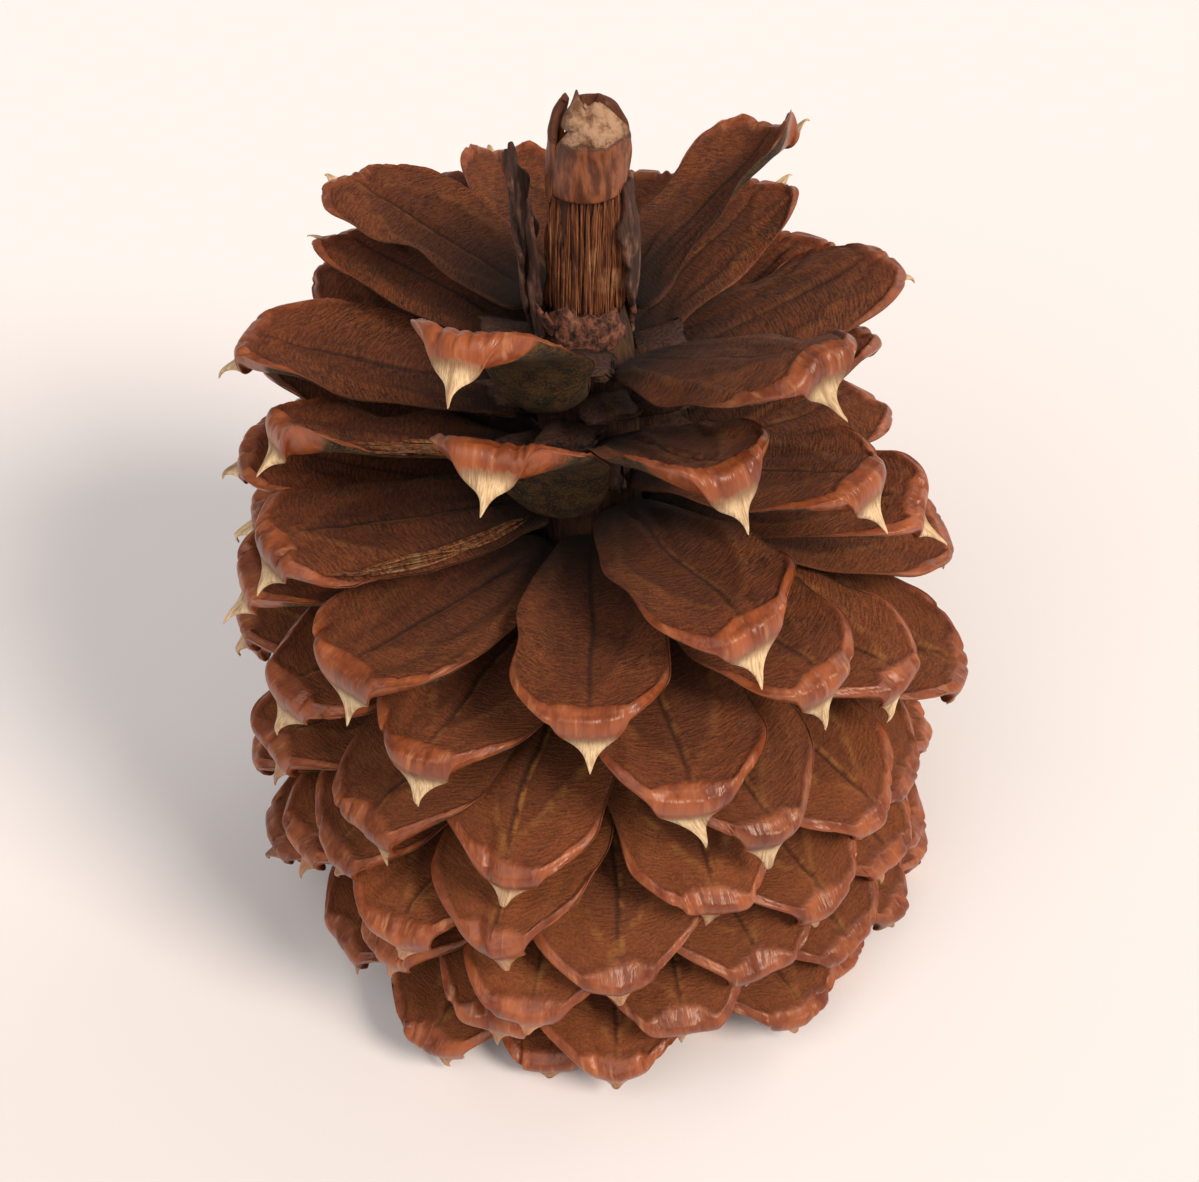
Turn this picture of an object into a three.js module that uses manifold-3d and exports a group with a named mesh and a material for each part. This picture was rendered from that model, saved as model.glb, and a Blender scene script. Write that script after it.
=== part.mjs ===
// A large open pine cone standing on its stalk end, tip up, in millimetres with +Z up.
// The woody axis runs through the whole cone. The scales sit on it along a golden-angle spiral.
// Azimuth 0 points along -Y and grows towards +X. The origin is on the ground, under the axis.
import * as THREE from "three";
import Module from "manifold-3d";

const wasm = await Module();
wasm.setup();

// Driving dimensions, in millimetres and degrees.
const GAP = 0.35; // clearance between neighbouring pieces
const GOLDEN_ANGLE = 137.49; // turn from one scale to the next one down
const FIRST_AZIMUTH = 349; // azimuth of scale place 0, the front one
const TOP_PLACE = -35; // highest place on the spiral that still holds a scale
const LOWEST_FREE_PLACE = 25; // below this the scales are set together around the axis
const LAST_PLACE = 97; // the smallest scale, beside the stalk
const LAST_FULL_PLACE = 76; // below this the scales get shorter towards the stalk
const PLACE_0_HEIGHT = 86; // height at which scale place 0 leaves the axis
const UPPER_RISE = 1.03; // rise of the axis per place above place 0
const LOWER_RISE = 0.79; // rise per place below it
const SCALE_LENGTH = 50;
const BLADE_HALF_WIDTH = 12.8;
const UPPER_PITCH = 12;
const SIDE_SLOPE = 10; // how much lower the scales hang on the +X side, and higher on the other
const LOWEST_HANG = 8; // how much more the scales beside the stalk hang
const AXIS_RADIUS = 8;
const STUB_RADIUS = 6.1; // the bare fibrous top of the axis
const STALK_RADIUS = 13; // the flat scar where the stalk broke off
const COLLAR_HEIGHT = 120; // underside of the torn collar
const FIBRE_HEIGHT = 127; // where the bare fibres start
const CAP_HEIGHT = 148; // where the tip scales start
const CONE_HEIGHT = 164;
const SLEEVE_RADIUS = 19; // grown-together roots of the lower scales

// Places whose scale has broken off, and left its root on the axis.
const BROKEN_PLACES = [-34, -32, -28, -26, -24, -23, -21, -16, -15, -13];

// Top scales with thin outer ends, whose spines point outwards more than down.
const THIN_ENDED_PLACES = [-35, -33, -30, -27, -25];
const THIN_END = 0.65; // share of the usual depth of an outer end

// Scales that stand differently from their neighbours: turn about the axis from the spiral's own
// azimuth, pitch above the horizontal, and length.
const OWN_WAY = new Map([
  [-35, { turn: 8, pitch: 6, length: 46 }],
  [-33, { turn: 8, pitch: 15, length: 44 }],
  [-31, { turn: -4, pitch: 29, length: 45 }],
  [-30, { turn: 11, pitch: 8, length: 44 }],
  [-29, { turn: 13, pitch: 45, length: 45 }],
  [-27, { turn: -7, pitch: 7, length: 44 }],
  [-25, { turn: -8, pitch: 7, length: 47 }],
  [-20, { turn: -3, pitch: 11, length: 47 }],
  [-19, { turn: 0, pitch: 12, length: 47 }],
  [-18, { turn: -12, pitch: 30, length: 45 }],
  [-11, { turn: 6, pitch: 22, length: 43 }],
  [-10, { turn: -1, pitch: 22, length: 45 }],
  [-8, { turn: 10, pitch: 48, length: 45 }],
  [-7, { turn: 12, pitch: 10, length: 44 }],
  [-5, { turn: 2, pitch: 14, length: 47 }],
  [-3, { turn: -1, pitch: 15, length: 48 }],
  [-2, { turn: -3, pitch: 11, length: 46 }],
  [0, { turn: 8, pitch: 6, length: 47 }],
  [2, { turn: 0, pitch: 15, length: 49 }],
  [3, { turn: -5, pitch: 3, length: 47 }],
  [5, { turn: 0, pitch: 10, length: 49 }],
  [8, { turn: 3, pitch: -5, length: 51 }],
  [10, { turn: -2, pitch: 9, length: 50 }],
  [11, { turn: -2, pitch: -9, length: 47 }],
  [13, { turn: -7, pitch: 4, length: 48 }],
  [16, { turn: -4, pitch: -11, length: 51 }],
  [18, { turn: -3, pitch: 6, length: 50 }],
  [19, { turn: -3, pitch: -15, length: 54 }],
  [21, { turn: -13, pitch: -10, length: 51 }],
  [26, { turn: -4, pitch: -4, length: 52 }],
  [34, { turn: -3, pitch: -14, length: 54 }],
  [42, { turn: -4, pitch: -18, length: 54 }],
  [47, { turn: -7, pitch: -8, length: 54 }],
  [55, { turn: -6, pitch: -14, length: 54 }],
]);

// Sections of a scale from its root to its outer end: how far along it each one stands, its half
// width as a share of the widest, how far its faces lie above and below the middle, and how far its
// lower side stands back towards the axis, in mm.
const SECTIONS = [
  { along: 0.0, width: 0.4, above: 1.5, below: 1.5, back: 0 },
  { along: 0.25, width: 0.74, above: 1.1, below: 1.2, back: 0 },
  { along: 0.5, width: 0.94, above: 1.0, below: 1.4, back: 0 },
  { along: 0.76, width: 1.0, above: 1.1, below: 2.4, back: 0 },
  { along: 0.92, width: 0.88, above: 1.0, below: 4.6, back: 1 },
  { along: 1.0, width: 0.5, above: -0.4, below: 6.0, back: 3.6 },
];
const UMBO = { forward: -1.2, down: 6.0, halfWidth: 3.4, above: 1.6, below: 1.2, back: 2 };
const SPINE_TIP = { forward: 0.7, down: 10.6 };
const THIN_ENDED_SPINE_TIP = { forward: 3.4, down: 6.2 };

const radians = (degrees) => (degrees * Math.PI) / 180;

// A repeatable draw between -1 and 1 for one place on the spiral.
function draw(place, salt) {
  const wave = Math.sin(place * 12.9898 + salt * 78.233) * 43758.5453;
  return 2 * (wave - Math.floor(wave)) - 1;
}

function leaveHeight(place) {
  const rise = place < 0 ? UPPER_RISE : LOWER_RISE;
  return PLACE_0_HEIGHT - rise * place;
}

// Upper scales rise a little, lower ones hang more and more, and the last ones reach the ground.
function usualPitch(place, azimuth) {
  if (place < 0) return UPPER_PITCH - 0.1 * SIDE_SLOPE * Math.sin(azimuth);
  const hang = Math.max(3 - 0.6 * place, -15);
  const lowest = Math.max(0, place - LAST_FULL_PLACE) / (LAST_PLACE - LAST_FULL_PLACE);
  return hang - LOWEST_HANG * lowest - SIDE_SLOPE * (1 - 0.8 * lowest) * Math.sin(azimuth);
}

function usualLength(place) {
  const shorter = Math.max(0, place - LAST_FULL_PLACE) / (LAST_PLACE - LAST_FULL_PLACE);
  const upper = place < 0 ? 0.08 * place : 0.05 * Math.min(place, 40);
  return (SCALE_LENGTH + upper) * (1 - 0.62 * shorter);
}

// Where one scale stands and how big it is.
function placing(place) {
  const own = OWN_WAY.get(place);
  const turn = own ? own.turn : 1.5 * draw(place, 2);
  const azimuth = radians(FIRST_AZIMUTH + GOLDEN_ANGLE * place + turn);
  const length = own ? own.length : usualLength(place) + 0.8 * draw(place, 1);
  return {
    place,
    azimuth,
    pitch: radians(own ? own.pitch : usualPitch(place, azimuth) + 1.2 * draw(place, 3)),
    bend: radians(place < 20 ? 12 : 18),
    roll: radians(3 * draw(place, 4)),
    height: leaveHeight(place),
    length,
    size: length / SCALE_LENGTH,
  };
}

// The frame of a scale at a share of its length: its middle and its three directions.
function frameAlong(scale, along) {
  const outward = new THREE.Vector3(Math.sin(scale.azimuth), -Math.cos(scale.azimuth), 0);
  const up = new THREE.Vector3(0, 0, 1);
  const across = new THREE.Vector3(Math.cos(scale.azimuth), Math.sin(scale.azimuth), 0);
  const middle = outward.clone().multiplyScalar(AXIS_RADIUS + GAP + 1.2);
  middle.z = scale.height;
  const STEPS = 8;
  let angle = scale.pitch;
  for (let step = 0; step < STEPS; step++) {
    const share = (along * (step + 0.5)) / STEPS;
    angle = scale.pitch + scale.bend * (0.45 - share);
    const stride = (along * scale.length) / STEPS;
    middle.addScaledVector(outward, stride * Math.cos(angle));
    middle.addScaledVector(up, stride * Math.sin(angle));
  }
  const forward = outward.clone().multiplyScalar(Math.cos(angle)).addScaledVector(up, Math.sin(angle));
  const turned = across.clone().applyAxisAngle(forward, scale.roll);
  const normal = turned.clone().cross(forward).multiplyScalar(-1);
  if (normal.z < 0) normal.multiplyScalar(-1);
  return { middle, forward, across: turned, normal };
}

// Six corners of a section: a blade with thin edges and two flat faces.
function sectionCorners(frame, halfWidth, { above, below, back }) {
  const corners = [
    [-halfWidth, (above - below) / 2, -back / 2],
    [-0.45 * halfWidth, -below, -back],
    [0.45 * halfWidth, -below, -back],
    [halfWidth, (above - below) / 2, -back / 2],
    [0.5 * halfWidth, above, 0],
    [-0.5 * halfWidth, above, 0],
  ];
  return corners.map(([sideways, up, forward]) => offFrame(frame, sideways, up, forward));
}

function offFrame({ middle, across, normal, forward }, sideways, up, ahead) {
  return middle
    .clone()
    .addScaledVector(across, sideways)
    .addScaledVector(normal, up)
    .addScaledVector(forward, ahead);
}

// A closed solid through a row of sections, ending in a point.
function loft(sections, tip) {
  const count = sections[0].length;
  const points = [...sections.flat(), tip];
  const faces = [];
  for (let k = 1; k < count - 1; k++) faces.push([0, k + 1, k]);
  for (let row = 0; row < sections.length - 1; row++) {
    for (let k = 0; k < count; k++) {
      const a = row * count + k;
      const b = row * count + ((k + 1) % count);
      faces.push([a, b, b + count], [a, b + count, a + count]);
    }
  }
  const last = (sections.length - 1) * count;
  for (let k = 0; k < count; k++) faces.push([last + k, last + ((k + 1) % count), points.length - 1]);
  return solidFrom(points, faces);
}

// A manifold solid from points and triangles, turned the right way out.
function solidFrom(points, faces) {
  const vertProperties = new Float32Array(points.flatMap((p) => [p.x, p.y, p.z]));
  let volume = 0;
  for (const [a, b, c] of faces) {
    volume += points[a].dot(new THREE.Vector3().crossVectors(points[b], points[c]));
  }
  const outward = volume > 0 ? faces : faces.map(([a, b, c]) => [a, c, b]);
  const triVerts = new Uint32Array(outward.flat());
  return new wasm.Manifold(new wasm.Mesh({ numProp: 3, vertProperties, triVerts }));
}

// One scale with its umbo and hanging spine. Growing it gives the room that it keeps clear.
function scaleSolid(place, grow = 0) {
  const scale = placing(place);
  const widest = BLADE_HALF_WIDTH * Math.max(scale.size, 0.55);
  const thin = THIN_ENDED_PLACES.includes(place);
  const depth = Math.min(1, scale.size) * (thin ? THIN_END : 1);
  const grown = ({ above, below, back }) => ({
    above: above + grow,
    below: below * depth + grow,
    back: back * depth,
  });
  const sections = SECTIONS.map((section) =>
    sectionCorners(frameAlong(scale, section.along), widest * section.width + grow, grown(section)),
  );
  const end = frameAlong(scale, 1);
  const umbo = { ...end, middle: offFrame(end, 0, -UMBO.down * depth, UMBO.forward * depth) };
  sections.push(sectionCorners(umbo, UMBO.halfWidth * depth + grow, grown(UMBO)));
  const tip = thin ? THIN_ENDED_SPINE_TIP : SPINE_TIP;
  const reach = Math.min(1, scale.size);
  return loft(sections, offFrame(end, 0, -tip.down * reach - grow, tip.forward * reach));
}

// The stump that a broken scale leaves on the axis.
function brokenRoot(place) {
  const scale = placing(place);
  const reach = [-0.06, 0.05, 0.12 + 0.03 * draw(place, 5)];
  const sections = reach.map((along, row) =>
    sectionCorners(frameAlong(scale, along), 5 - 0.5 * row, {
      above: 2 - 0.3 * row,
      below: 2 - 0.3 * row,
      back: 0,
    }),
  );
  const tip = frameAlong(scale, 0.17).middle;
  return loft(sections, tip);
}

// A turned solid from an outline that starts and ends on the axis, each point [radius, height].
function turned(outline, sides) {
  const points = [new THREE.Vector3(0, 0, outline[0][1])];
  const rings = outline.slice(1, -1);
  for (const [radius, height] of rings) {
    for (let k = 0; k < sides; k++) {
      const angle = (2 * Math.PI * k) / sides;
      points.push(new THREE.Vector3(radius * Math.cos(angle), radius * Math.sin(angle), height));
    }
  }
  points.push(new THREE.Vector3(0, 0, outline[outline.length - 1][1]));
  const faces = [];
  for (let k = 0; k < sides; k++) {
    const next = (k + 1) % sides;
    faces.push([0, 1 + next, 1 + k]);
    for (let row = 0; row < rings.length - 1; row++) {
      const a = 1 + row * sides;
      faces.push([a + k, a + next, a + sides + next], [a + k, a + sides + next, a + sides + k]);
    }
    const last = 1 + (rings.length - 1) * sides;
    faces.push([last + k, last + next, points.length - 1]);
  }
  return solidFrom(points, faces);
}

// The whole axis: stalk scar, scale-bearing length, torn collar, bare fibres and the core of the tip.
function axisSolid() {
  const shaft = turned(
    [
      [0, 0],
      [STALK_RADIUS, 0],
      [STALK_RADIUS, 1.5],
      [AXIS_RADIUS + 1, 6],
      [AXIS_RADIUS, 12],
      [AXIS_RADIUS, COLLAR_HEIGHT],
      [STUB_RADIUS + 1.7, COLLAR_HEIGHT + 1],
      [STUB_RADIUS + 1.1, FIBRE_HEIGHT],
      [STUB_RADIUS, FIBRE_HEIGHT + 1],
      [STUB_RADIUS, CAP_HEIGHT - 0.5],
      [3.6, CAP_HEIGHT + 0.3],
      [3.0, CONE_HEIGHT - 6],
      [0, CONE_HEIGHT - 4.5],
    ],
    14,
  );
  return BROKEN_PLACES.reduce((axis, place) => axis.add(brokenRoot(place)), shaft);
}

// A thick curved plate wrapped around the axis, like a small closed scale that hugs the tip.
// Its rows are [height, inner radius, outer radius, half angle in degrees].
function wrappedScale(azimuth, rows, peak) {
  const COLUMNS = 5;
  const sections = rows.map(([height, inner, outer, halfAngle]) => {
    const ring = [];
    const at = (radius, share) => {
      const angle = radians(azimuth + halfAngle * share);
      return new THREE.Vector3(radius * Math.sin(angle), -radius * Math.cos(angle), height);
    };
    for (let k = 0; k < COLUMNS; k++) ring.push(at(outer, (2 * k) / (COLUMNS - 1) - 1));
    for (let k = COLUMNS - 1; k >= 0; k--) ring.push(at(inner, (2 * k) / (COLUMNS - 1) - 1));
    return ring;
  });
  const angle = radians(azimuth);
  const [height, radius] = peak;
  return loft(
    sections,
    new THREE.Vector3(radius * Math.sin(angle), -radius * Math.cos(angle), height),
  );
}

const frontTipScale = () =>
  wrappedScale(
    8,
    [
      [CAP_HEIGHT + 0.6, 4.2, 6.4, 66],
      [CAP_HEIGHT + 6, 4.2, 6.6, 64],
      [CAP_HEIGHT + 11, 3.8, 6.2, 60],
      [CAP_HEIGHT + 14, 2.2, 4.6, 50],
    ],
    [CONE_HEIGHT, 2.4],
  );

const leftTipScale = () =>
  wrappedScale(
    -100,
    [
      [CAP_HEIGHT + 0.6, 4.2, 6.2, 36],
      [CAP_HEIGHT + 6, 4.2, 6.9, 36],
      [CAP_HEIGHT + 11, 4.0, 6.0, 34],
    ],
    [CONE_HEIGHT - 2.5, 4.2],
  );

const backTipScale = () =>
  wrappedScale(
    150,
    [
      [CAP_HEIGHT + 0.6, 4.2, 6.2, 66],
      [CAP_HEIGHT + 6, 4.0, 6.4, 62],
      [CAP_HEIGHT + 10, 3.6, 5.6, 54],
    ],
    [CONE_HEIGHT - 3, 3.4],
  );

const barkFlake = () =>
  wrappedScale(
    72,
    [
      [FIBRE_HEIGHT + 3.5, 6.9, 7.8, 14],
      [FIBRE_HEIGHT + 9, 6.6, 8.1, 20],
      [FIBRE_HEIGHT + 16, 6.5, 7.5, 14],
    ],
    [CAP_HEIGHT - 1, 6.9],
  );

const splitScale = () =>
  wrappedScale(
    -112,
    [
      [COLLAR_HEIGHT + 3.5, 9.2, 10.6, 10],
      [COLLAR_HEIGHT + 10, 9.4, 12.2, 26],
      [COLLAR_HEIGHT + 19, 10.4, 12.4, 20],
      [COLLAR_HEIGHT + 26, 11.4, 12.6, 10],
    ],
    [COLLAR_HEIGHT + 31, 12.2],
  );

// The lower scales and the sleeve that their roots form around the axis.
function lowerScales() {
  const top = leaveHeight(LOWEST_FREE_PLACE + 1) + 1;
  const inner = AXIS_RADIUS + GAP;
  const sleeve = turned(
    [
      [0, 7],
      [SLEEVE_RADIUS - 3, 7],
      [SLEEVE_RADIUS, 18],
      [SLEEVE_RADIUS, top - 9],
      [inner + 3, top],
      [0, top],
    ],
    14,
  );
  let body = sleeve;
  for (let place = LOWEST_FREE_PLACE + 1; place <= LAST_PLACE; place++) {
    body = body.add(scaleSolid(place));
  }
  const bore = turned(
    [
      [0, -30],
      [STALK_RADIUS + GAP, -30],
      [STALK_RADIUS + GAP, 2],
      [AXIS_RADIUS + 1 + GAP, 6.4],
      [inner, 12.4],
      [inner, CONE_HEIGHT],
      [0, CONE_HEIGHT],
    ],
    14,
  );
  const ground = block(200, -60, 0);
  return largest(body.subtract(bore).subtract(ground));
}

// A square block centred on the axis between two heights.
function block(side, low, high) {
  const outline = [
    [0, low],
    [side, low],
    [side, high],
    [0, high],
  ];
  return turned(outline, 4);
}

function largest(solid) {
  return solid.decompose().reduce((a, b) => (b.volume() > a.volume() ? b : a));
}

// Trims a scale where a neighbour already stands, and keeps the clearance.
function clearOf(solid, neighbours) {
  let left = solid;
  for (const neighbour of neighbours) {
    if (left.intersect(neighbour).volume() > 0) left = left.subtract(neighbour);
  }
  return largest(left);
}

function meshOf(name, solid, material) {
  const { vertProperties, triVerts } = solid.getMesh();
  const geometry = new THREE.BufferGeometry()
    .setAttribute("position", new THREE.BufferAttribute(new Float32Array(vertProperties), 3))
    .setIndex(new THREE.BufferAttribute(new Uint32Array(triVerts), 1));
  geometry.computeVertexNormals();
  const mesh = new THREE.Mesh(geometry, material);
  mesh.name = name;
  return mesh;
}

const scaleWood = new THREE.MeshStandardMaterial({ color: 0x7a4228, roughness: 0.6, metalness: 0 });
const lowerWood = new THREE.MeshStandardMaterial({ color: 0x6e3b24, roughness: 0.62, metalness: 0 });
const axisFibre = new THREE.MeshStandardMaterial({ color: 0x8a5a2c, roughness: 0.85, metalness: 0 });
const tipWood = new THREE.MeshStandardMaterial({ color: 0x96613c, roughness: 0.6, metalness: 0 });
const bark = new THREE.MeshStandardMaterial({ color: 0x4e3020, roughness: 0.85, metalness: 0 });

const cone = new THREE.Group();
cone.name = "pine_cone";
cone.add(meshOf("front_tip_scale", frontTipScale(), tipWood));
cone.add(meshOf("left_tip_scale", leftTipScale(), tipWood));
cone.add(meshOf("back_tip_scale", backTipScale(), tipWood));
cone.add(meshOf("bark_flake", barkFlake(), bark));

const grown = [];
const lower = lowerScales();
let number = 0;
for (let place = TOP_PLACE; place <= LOWEST_FREE_PLACE; place++) {
  if (BROKEN_PLACES.includes(place)) continue;
  number += 1;
  const solid = clearOf(scaleSolid(place), grown);
  grown.push(scaleSolid(place, GAP));
  cone.add(meshOf(`scale_${String(number).padStart(2, "0")}`, solid, scaleWood));
}
cone.add(meshOf("cone_axis", clearOf(axisSolid(), grown), axisFibre));
cone.add(meshOf("split_scale", clearOf(splitScale(), grown), bark));
cone.add(meshOf("lower_scales", clearOf(lower, grown), lowerWood));

export default cone;
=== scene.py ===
"""A large open pine cone that stands tip up on its stalk scar. Every scale is its own copy of one
modelled scale, bent, weathered and set on the axis along a golden-angle spiral."""

import math
from types import SimpleNamespace

import bmesh
import bpy
import numpy as np
from mathutils import Matrix, Vector


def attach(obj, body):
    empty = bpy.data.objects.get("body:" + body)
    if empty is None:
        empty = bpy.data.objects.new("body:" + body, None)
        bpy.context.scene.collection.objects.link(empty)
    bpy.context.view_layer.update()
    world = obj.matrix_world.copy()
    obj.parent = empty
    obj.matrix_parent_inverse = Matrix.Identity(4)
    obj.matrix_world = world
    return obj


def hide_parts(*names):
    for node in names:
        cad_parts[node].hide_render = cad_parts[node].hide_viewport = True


bl_info = {
    "name": "Pine cone",
    "version": (1, 0, 0),
    "blender": (4, 5, 0),
    "location": "3D View > Sidebar > Pine cone",
    "description": "Builds an open pine cone scale by scale",
    "category": "Object",
}

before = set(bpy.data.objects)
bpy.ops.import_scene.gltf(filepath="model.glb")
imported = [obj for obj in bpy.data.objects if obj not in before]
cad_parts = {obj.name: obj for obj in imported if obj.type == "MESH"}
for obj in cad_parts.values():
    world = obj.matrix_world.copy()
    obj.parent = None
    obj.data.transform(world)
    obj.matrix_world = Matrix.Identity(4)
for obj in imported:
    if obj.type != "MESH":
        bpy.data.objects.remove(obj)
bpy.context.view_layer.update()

MM = 0.001
UP = np.array([0.0, 0.0, 1.0])

# Where the scales sit on the axis, in millimetres and degrees. The solids use the same numbers,
# except that here places 81 and 89 are longer, so that the base keeps its full outline.
GAP = 0.35
GOLDEN_ANGLE = 137.49
FIRST_AZIMUTH = 349
TOP_PLACE = -35
LOWEST_FREE_PLACE = 25
LAST_PLACE = 97
LAST_FULL_PLACE = 76
PLACE_0_HEIGHT = 86
UPPER_RISE = 1.03
LOWER_RISE = 0.79
UPPER_PITCH = 12
SIDE_SLOPE = 10
LOWEST_HANG = 8
AXIS_RADIUS = 8
STUB_RADIUS = 6.1
STALK_RADIUS = 13
COLLAR_HEIGHT = 120
FIBRE_HEIGHT = 127
CAP_HEIGHT = 148
UMBO_OF_TIP = (3.2, -5.0, CAP_HEIGHT + 11)  # middle of the pale patch on the tip
TIP_LEAN = 0.065  # millimetres sideways for each upwards
MODEL_LENGTH = 50  # length of the one scale that all are copied from
LENS_MM = 75.2
SENSOR_MM = 36

BROKEN_PLACES = {-34, -32, -28, -26, -24, -23, -21, -16, -15, -13}
THIN_ENDED_PLACES = {-35, -33, -30, -27, -25}
THIN_END = 0.65

# Scales that stand differently from their neighbours: turn, pitch and length.
OWN_WAY = {
    -35: (8, 6, 46),
    -33: (8, 15, 44),
    -31: (-4, 29, 45),
    -30: (11, 8, 44),
    -29: (13, 45, 45),
    -27: (-7, 7, 44),
    -25: (-8, 7, 47),
    -20: (-3, 11, 47),
    -19: (0, 12, 47),
    -18: (-12, 30, 45),
    -11: (6, 22, 43),
    -10: (-1, 22, 45),
    -8: (10, 48, 45),
    -7: (12, 10, 44),
    -5: (2, 14, 47),
    -3: (-1, 15, 48),
    -2: (-3, 11, 46),
    0: (8, 6, 47),
    2: (0, 15, 49),
    3: (-5, 3, 47),
    5: (0, 10, 49),
    8: (3, -5, 51),
    10: (-2, 9, 50),
    11: (-2, -9, 47),
    13: (-7, 4, 48),
    16: (-4, -11, 51),
    18: (-3, 6, 50),
    19: (-3, -15, 54),
    21: (-13, -10, 51),
    26: (-4, -4, 52),
    34: (-3, -14, 54),
    42: (-4, -18, 54),
    47: (-7, -8, 54),
    55: (-6, -14, 54),
    81: (0, -13, 52),
    89: (0, -12, 46),
}

# Scales that dried out of shape. cup lifts both margins, near and far lift the margin on the
# right or left of the scale seen from the axis, slim narrows the blade, twist turns its end,
# waves is how much the margins wave and belly swells the underside near the root.
DRIED = {
    -33: {"cup": 4.5, "slim": 0.72, "twist": -22, "waves": 2.5},
    -35: {"cup": 1.5, "slim": 0.8, "waves": 2.0},
    -27: {"cup": 0.5, "slim": 0.82, "twist": 10},
    -30: {"cup": 2.6, "slim": 0.76, "twist": 14, "waves": 2.4},
    -25: {"cup": 1.0, "slim": 0.85, "waves": 2.2},
    -31: {"cup": -1.5, "far": -2.5, "slim": 0.95},
    -29: {"cup": 1.8, "slim": 0.95, "belly": 5.5},
    -22: {"waves": 2.2},
    -18: {"cup": 1.5, "far": 2.0, "slim": 0.95},
    -12: {"waves": 2.2},
    -11: {"near": 3.5, "cup": -0.5, "twist": 12, "waves": 2.4},
    -8: {"cup": 1.2, "belly": 5.0},
    -3: {"near": -1.4, "cup": -0.6, "twist": 4, "waves": 1.4},
    -20: {"cup": -1.2, "near": -1.5},
    0: {"cup": 0.6},
    -5: {"cup": 0.4, "twist": 4},
}

# Rings of the modelled scale from its root to the point of its spine, in millimetres: how far
# along it the ring stands, the height of its middle, half width, height above and below the
# middle, and how many degrees its top leans outwards.
RINGS = [
    (0.0, 0.0, 5.4, 1.6, 1.6, 0),
    (4.0, 0.0, 6.6, 1.3, 1.5, 0),
    (10.0, 0.0, 9.2, 0.9, 1.3, 0),
    (17.0, 0.0, 11.6, 0.6, 1.0, 0),
    (25.0, 0.0, 13.0, 0.5, 0.9, 0),
    (32.0, 0.0, 13.6, 0.5, 1.2, 0),
    (38.0, 0.0, 13.7, 0.6, 2.1, 0),
    (42.5, 0.0, 13.1, 0.8, 3.3, 6),
    (46.2, -0.1, 11.3, 1.0, 4.7, 16),
    (49.0, -0.6, 8.6, 1.4, 5.0, 22),
    (50.0, -1.1, 7.0, 1.5, 4.7, 24),
    (50.3, -2.7, 6.2, 1.3, 3.5, 34),
    (49.6, -4.6, 4.9, 1.3, 2.5, 36),
    (49.1, -5.9, 3.5, 1.2, 1.8, 40),
    (49.2, -7.0, 2.1, 0.9, 1.2, 50),
    (49.6, -8.4, 1.0, 0.65, 0.6, 60),
    (50.2, -9.9, 0.5, 0.35, 0.35, 65),
    (51.0, -11.8, 0.12, 0.12, 0.12, 65),
]
RING_POINTS = 20
UMBO_RING = 12.1  # the pale umbo starts past this ring
FACE_RING = 7.6  # the smooth outer face starts past this ring underneath


def linear(hex_colour):
    """An sRGB hex colour as linear RGBA."""
    digits = hex_colour.lstrip("#")
    parts = [int(digits[i : i + 2], 16) / 255 for i in (0, 2, 4)]
    flat = [c / 12.92 if c <= 0.04045 else ((c + 0.055) / 1.055) ** 2.4 for c in parts]
    return (*flat, 1.0)


def draw(place, salt):
    """A repeatable draw between -1 and 1 for one place on the spiral."""
    wave = math.sin(place * 12.9898 + salt * 78.233) * 43758.5453
    return 2 * (wave - math.floor(wave)) - 1


def smooth(values, low, high):
    """0 below low, 1 above high and an S between them."""
    t = np.clip((values - low) / (high - low), 0, 1)
    return t * t * (3 - 2 * t)


def ripple(values, rng, count=4, finest=1.0):
    """A smooth irregular curve between about -1 and 1, from a few sines with drawn phases."""
    total = np.zeros_like(values)
    for step in range(count):
        rate = finest * (0.25 + 0.75 * (step + rng.random()) / count)
        total += np.sin(values * rate + rng.random() * 2 * math.pi) / (1 + 0.5 * step)
    return total / 2.2


# ---------------------------------------------------------------- places on the axis


def leave_height(place):
    return PLACE_0_HEIGHT - (UPPER_RISE if place < 0 else LOWER_RISE) * place


def usual_pitch(place, azimuth):
    """Upper scales rise a little, lower ones hang more and more."""
    if place < 0:
        return UPPER_PITCH - 0.1 * SIDE_SLOPE * math.sin(azimuth)
    hang = max(3 - 0.6 * place, -15)
    lowest = max(0, place - LAST_FULL_PLACE) / (LAST_PLACE - LAST_FULL_PLACE)
    return hang - LOWEST_HANG * lowest - SIDE_SLOPE * (1 - 0.8 * lowest) * math.sin(azimuth)


def usual_length(place):
    shorter = max(0, place - LAST_FULL_PLACE) / (LAST_PLACE - LAST_FULL_PLACE)
    upper = 0.08 * place if place < 0 else 0.05 * min(place, 40)
    return (MODEL_LENGTH + upper) * (1 - 0.62 * shorter)


def stand_of(place):
    """Where one scale stands and how big it is."""
    own = OWN_WAY.get(place)
    turn = own[0] if own else 1.5 * draw(place, 2)
    azimuth = math.radians(FIRST_AZIMUTH + GOLDEN_ANGLE * place + turn)
    pitch = own[1] if own else usual_pitch(place, azimuth) + 1.2 * draw(place, 3)
    length = own[2] if own else usual_length(place) + 0.8 * draw(place, 1)
    return SimpleNamespace(
        place=place,
        azimuth=azimuth,
        pitch=math.radians(pitch),
        bend=math.radians(12 if place < 20 else 18),
        roll=math.radians(3 * draw(place, 4)),
        height=leave_height(place),
        length=length,
        size=length / MODEL_LENGTH,
        thin=place in THIN_ENDED_PLACES,
    )


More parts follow.
